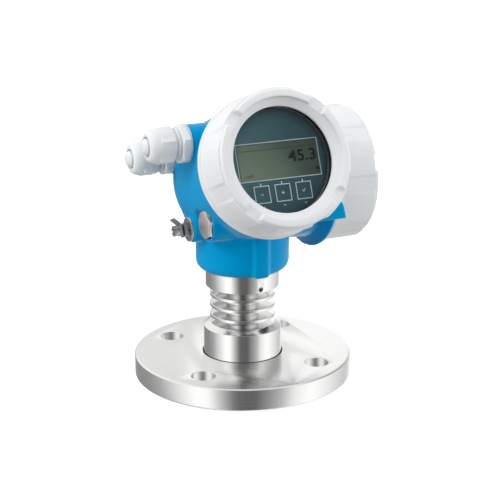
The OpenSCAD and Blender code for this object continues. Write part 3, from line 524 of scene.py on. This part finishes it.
display = {   # mm, across and up the display from the middle of its cover
    "edge": 0.15,
    "paneWidth": 62.6,
    "paneHeight": 26,
    "paneSide": 0.45,
    "paneUp": 1.05,
    "paneSunk": (61.4, 25.2, 0.75, 0.8),   # size and middle of the pane inside its printed frame
    "panelDrop": 0.4,    # from the highest point of the module to its printed face, and on to the pane
    "lift": 0.03,        # print over the face below it
    "keyLift": 0.42,
    "line": 0.55,        # width of the printed lines
    "keyPitch": 16.2,
    "keySize": (12, 12.4),
    "keyGap": 4,         # from the pane to the keys
    "keyTick": (0.35, 1.9),          # half width and height of the mark over each key
    "keyDash": (1.0, 2.7, 2.3),      # half width, low and high end of the dash under each key
    "value": "45.3",
    "valueRight": 30,
    "valueFoot": -1.2,
    "valueHeight": 8.4,
    "valueWidth": 21.6,
    "valueBold": 0.22,
    "rule": (-29.5, 31, 4.9, 4.65),  # left, right, then low and high end below the top of the pane
    "mark": (28.8, -8.4, 31, -6.4),
    "bars": 6,
    "barPlace": (-26.5, -9.4),
    "barPitch": 1.0,
    "barWidth": 0.4,
    "barFirst": 1.0,     # height of the first bar
    "barStep": 0.25,
    "glass": [(0, 23.7, 0), (42.4, 23.7, 0.4), (42.4, 28.7, 0.4), (0, 28.7, 0)],
}


def addBar(bm, x0, y0, x1, y1, z, thick=0.06):
    made = bmesh.ops.create_cube(bm, size=1)
    size = Matrix.Diagonal(((x1 - x0) * mm, (y1 - y0) * mm, thick * mm, 1))
    bmesh.ops.transform(bm, matrix=Matrix.Translation(((x0 + x1) / 2 * mm, (y0 + y1) / 2 * mm, z * mm)) @ size,
                        verts=made["verts"])
    return made["verts"]


def addFrame(bm, x, y, width, height, line, z):
    a, b = x - width / 2, x + width / 2
    c, d = y - height / 2, y + height / 2
    addBar(bm, a, c, b, c + line, z)
    addBar(bm, a, d - line, b, d, z)
    addBar(bm, a, c + line, a + line, d - line, z)
    addBar(bm, b - line, c + line, b, d - line, z)


def makeDisplay():
    module = copyNode("display_module")
    inward = displayFrame.inverted()
    face = max((inward @ v.co).z for v in module.verts) / mm - display["panelDrop"]
    insert = makePiece(roundEdges(module, display["edge"], 2, 28), "displayModule", panel, "display",
                       ["display_module"], 40)
    insert.visible_glossy = False

    pane = roundEdges(copyNode("display_glass"), display["edge"], 2, 28)
    pane.transform(inward)
    low, high = extent(pane)
    wide, tall, side, up = display["paneSunk"]
    fit = Matrix.Diagonal((wide * mm / (high.x - low.x), tall * mm / (high.y - low.y), 1, 1))
    fit = fit @ Matrix.Translation((-(low.x + high.x) / 2, -(low.y + high.y) / 2, 0))
    pane.transform(displayFrame @ Matrix.Translation((side * mm, up * mm, 0)) @ fit)
    makePiece(pane, "displayPane", lcdPanePaintedLight, "display", ["display_glass"], 40)

    makePrint(face)
    makeDigits(face - display["panelDrop"])

    lens = spinProfile(filletProfile(display["glass"], 3), 128)
    lens.transform(displayCoverFrame)
    makePiece(lens, "sightGlass", clearGlass, "display_cover_body", ["sight_glass"], 40)


def makePrint(face):
    line = display["line"]
    level = face + display["lift"]
    bm = bmesh.new()
    addFrame(bm, display["paneSide"], display["paneUp"], display["paneWidth"] + 2 * line,
             display["paneHeight"] + 2 * line, line, level)
    keyWidth, keyHeight = display["keySize"]
    tickHalf, tickHigh = display["keyTick"]
    dashHalf, dashLow, dashHigh = display["keyDash"]
    y = display["paneUp"] - display["paneHeight"] / 2 - display["keyGap"] - keyHeight / 2
    for side in (-1, 0, 1):
        x = side * display["keyPitch"]
        addFrame(bm, x, y, keyWidth, keyHeight, line, face + display["keyLift"])
        addBar(bm, x - tickHalf, y + keyHeight / 2, x + tickHalf, y + keyHeight / 2 + tickHigh, level)
        addBar(bm, x - dashHalf, y - keyHeight / 2 - dashLow, x + dashHalf, y - keyHeight / 2 - dashHigh, level)
        if side == 1:   # a bent arrow, in six short steps
            for k in range(6):
                left, rise = x - 1.2 + 0.4 * k, abs(k - 2) * 0.6
                addBar(bm, left, y - 1.2 + rise, left + 0.4, y - 0.5 + rise, level)
        else:
            addBar(bm, x - 1.2, y - 0.2, x + 1.2, y + 0.2, level)
        if side == 0:   # a plus
            addBar(bm, x - 0.2, y - 1.2, x + 0.2, y + 1.2, level + 0.02)
    bm.transform(displayFrame)
    makePiece(bm, "panelPrint", printWhite, "display")


def makeDigits(face):
    level = face + display["lift"]
    curve = bpy.data.curves.new("valueText", "FONT")
    curve.body = display["value"]
    curve.size = 10
    curve.offset = display["valueBold"]
    draft = bpy.data.objects.new("valueText", curve)
    bpy.context.collection.objects.link(draft)
    bpy.context.view_layer.update()
    letters = bpy.data.meshes.new_from_object(draft.evaluated_get(bpy.context.evaluated_depsgraph_get()))
    bpy.data.objects.remove(draft)
    bm = bmesh.new()
    bm.from_mesh(letters)
    low, high = extent(bm)
    wide, tall = display["valueWidth"], display["valueHeight"]
    grow = Matrix.Diagonal((wide * mm / (high.x - low.x), tall * mm / (high.y - low.y), 1, 1))
    place = Matrix.Translation(((display["valueRight"] - wide) * mm, display["valueFoot"] * mm, level * mm))
    bm.transform(place @ grow @ Matrix.Translation(-low))
    top = display["paneUp"] + display["paneHeight"] / 2
    left, right, ruleLow, ruleHigh = display["rule"]
    addBar(bm, left, top - ruleLow, right, top - ruleHigh, level, 0.03)
    addBar(bm, *display["mark"], level, 0.03)
    barLeft, barFoot = display["barPlace"]
    for k in range(display["bars"]):
        x = barLeft + display["barPitch"] * k
        addBar(bm, x, barFoot, x + display["barWidth"], barFoot + display["barFirst"] + display["barStep"] * k,
               level, 0.03)
    bm.transform(displayFrame)
    makePiece(bm, "displayDigits", segmentInk, "display")


makeCasting()
makeCovers()
print("covers made")
makeNeck()
print("neck made")
makeGlands()
makeSideFittings()
makeDisplay()
print("fittings made")


studio = {
    "turn": 24.3,       # degrees from the display side towards the cable glands
    "distance": 1084,
    "height": 434.6,
    "pitch": 17.183,
    "yaw": 0.304,
    "lens": 108.43,
    "floorSize": 30.0,
    "floorGlow": 0.75,
    "floorPaint": 0.6,
    "strength": 1.25,
    "ceiling": 0.75,
    # bearing from the camera in degrees, brightness of the card that stands there: low ones, then the wall over them
    "cards": [(-180, 0.42), (-150, 0.22), (-118, 0.24), (-96, 0.34), (-74, 0.66), (-50, 1.0), (-36, 0.95),
              (-24, 0.5), (-8, 0.12), (14, 0.10), (26, 0.24), (42, 0.42), (56, 0.8), (78, 1.0), (108, 0.75),
              (140, 0.5), (180, 1.0)],
    "walls": [(-180, 0.62), (-150, 0.82), (-120, 0.85), (-90, 0.85), (-66, 0.8), (-50, 1.0), (-36, 0.95),
              (-24, 0.5), (-8, 0.12), (14, 0.10), (26, 0.24), (42, 0.42), (56, 0.8), (78, 0.55), (104, 0.38),
              (130, 0.36), (156, 0.58), (180, 1.0)],
    "overCards": (-0.12, 0.16),   # height on the world sphere where the walls take over from the cards
    "overWalls": (0.55, 0.95),    # and where the ceiling takes over
    "lights": {   # place in m, size in m, power in W
        "topLight": ((-0.3, -0.2, 1.7), 1.2, 1),
        "frontLight": ((-0.75, -1.3, 1.15), 0.9, 3.5),
        "leftStrip": ((-1.2, -0.2, 0.95), 0.5, 6),
        "rightStrip": ((1.2, -0.5, 0.5), 0.6, 6.5),
    },
    "aim": (0, 0, 0.12),
}


def makeStudio():
    turn = math.radians(studio["turn"])
    cameraData = bpy.data.cameras.new("studioCamera")
    camera = bpy.data.objects.new("studioCamera", cameraData)
    bpy.context.collection.objects.link(camera)
    cameraData.lens = studio["lens"]
    cameraData.sensor_width = 36
    cameraData.clip_end = 60
    camera.location = (-studio["distance"] * math.sin(turn) * mm, -studio["distance"] * math.cos(turn) * mm,
                       studio["height"] * mm)
    camera.rotation_euler = (math.radians(90 - studio["pitch"]), 0, -turn - math.radians(studio["yaw"]))
    bpy.context.scene.camera = camera

    floorMesh = bpy.data.meshes.new("studioFloor")
    bm = bmesh.new()
    bmesh.ops.create_grid(bm, x_segments=2, y_segments=2, size=studio["floorSize"])
    bm.to_mesh(floorMesh)
    bm.free()
    floor = bpy.data.objects.new("studioFloor", floorMesh)
    floorMat, floorShader = newMaterial("studioPaper")
    level = studio["floorPaint"]
    setShader(floorMat, floorShader,
              {"Base Color": (level, level, level, 1), "Roughness": 0.9, "Specular IOR Level": 0.0,
               "Emission Color": (1, 1, 1, 1), "Emission Strength": studio["floorGlow"]})
    floor.visible_glossy = False
    floor.visible_diffuse = False
    floorMesh.materials.append(floorMat)
    bpy.context.collection.objects.link(floor)

    world = bpy.data.worlds.new("studioWorld")
    world.use_nodes = True
    place = addNode(world, "ShaderNodeTexCoord")
    turned = addNode(world, "ShaderNodeVectorRotate", {"rotation_type": "Z_AXIS", "Angle": turn},
                     {"Vector": place.outputs["Generated"]})
    parts = addNode(world, "ShaderNodeSeparateXYZ", {}, {"Vector": turned.outputs["Vector"]})
    ahead = addNode(world, "ShaderNodeMath", {"operation": "MULTIPLY", 1: -1.0}, {0: parts.outputs["Y"]})
    bearing = addNode(world, "ShaderNodeMath", {"operation": "ARCTAN2"},
                      {0: parts.outputs["X"], 1: ahead.outputs["Value"]})
    share = addNode(world, "ShaderNodeMapRange", {"From Min": -math.pi, "From Max": math.pi},
                    {"Value": bearing.outputs["Value"]})
    cards, walls = [addRamp(world, share.outputs["Result"],
                            [((degrees + 180) / 360, (level, level, level, 1)) for degrees, level in studio[row]])
                    for row in ("cards", "walls")]
    low, high = studio["overCards"]
    over = addNode(world, "ShaderNodeMapRange",
                   {"interpolation_type": "SMOOTHSTEP", "From Min": low, "From Max": high},
                   {"Value": parts.outputs["Z"]})
    sides = addNode(world, "ShaderNodeMix", {"data_type": "RGBA"},
                    {0: over.outputs["Result"], 6: cards.outputs["Color"], 7: walls.outputs["Color"]})
    low, high = studio["overWalls"]
    above = addNode(world, "ShaderNodeMapRange",
                    {"interpolation_type": "SMOOTHSTEP", "From Min": low, "From Max": high},
                    {"Value": parts.outputs["Z"]})
    ceiling = addNode(world, "ShaderNodeMix", {"data_type": "RGBA"}, {0: above.outputs["Result"], 6: sides.outputs[2]})
    ceiling.inputs[7].default_value = (studio["ceiling"],) * 3 + (1,)
    backdrop = world.node_tree.nodes["Background"]
    backdrop.inputs["Strength"].default_value = studio["strength"]
    world.node_tree.links.new(ceiling.outputs[2], backdrop.inputs["Color"])
    bpy.context.scene.world = world
    bpy.context.scene.view_settings.view_transform = "Standard"

    for name, (where, size, power) in studio["lights"].items():
        data = bpy.data.lights.new(name, "AREA")
        data.size = size
        data.energy = power
        light = bpy.data.objects.new(name, data)
        bpy.context.collection.objects.link(light)
        light.location = where
        light.visible_glossy = False
        aim = Vector(studio["aim"]) - Vector(where)
        light.rotation_euler = aim.to_track_quat("-Z", "Y").to_euler()


makeStudio()
print("studio made")
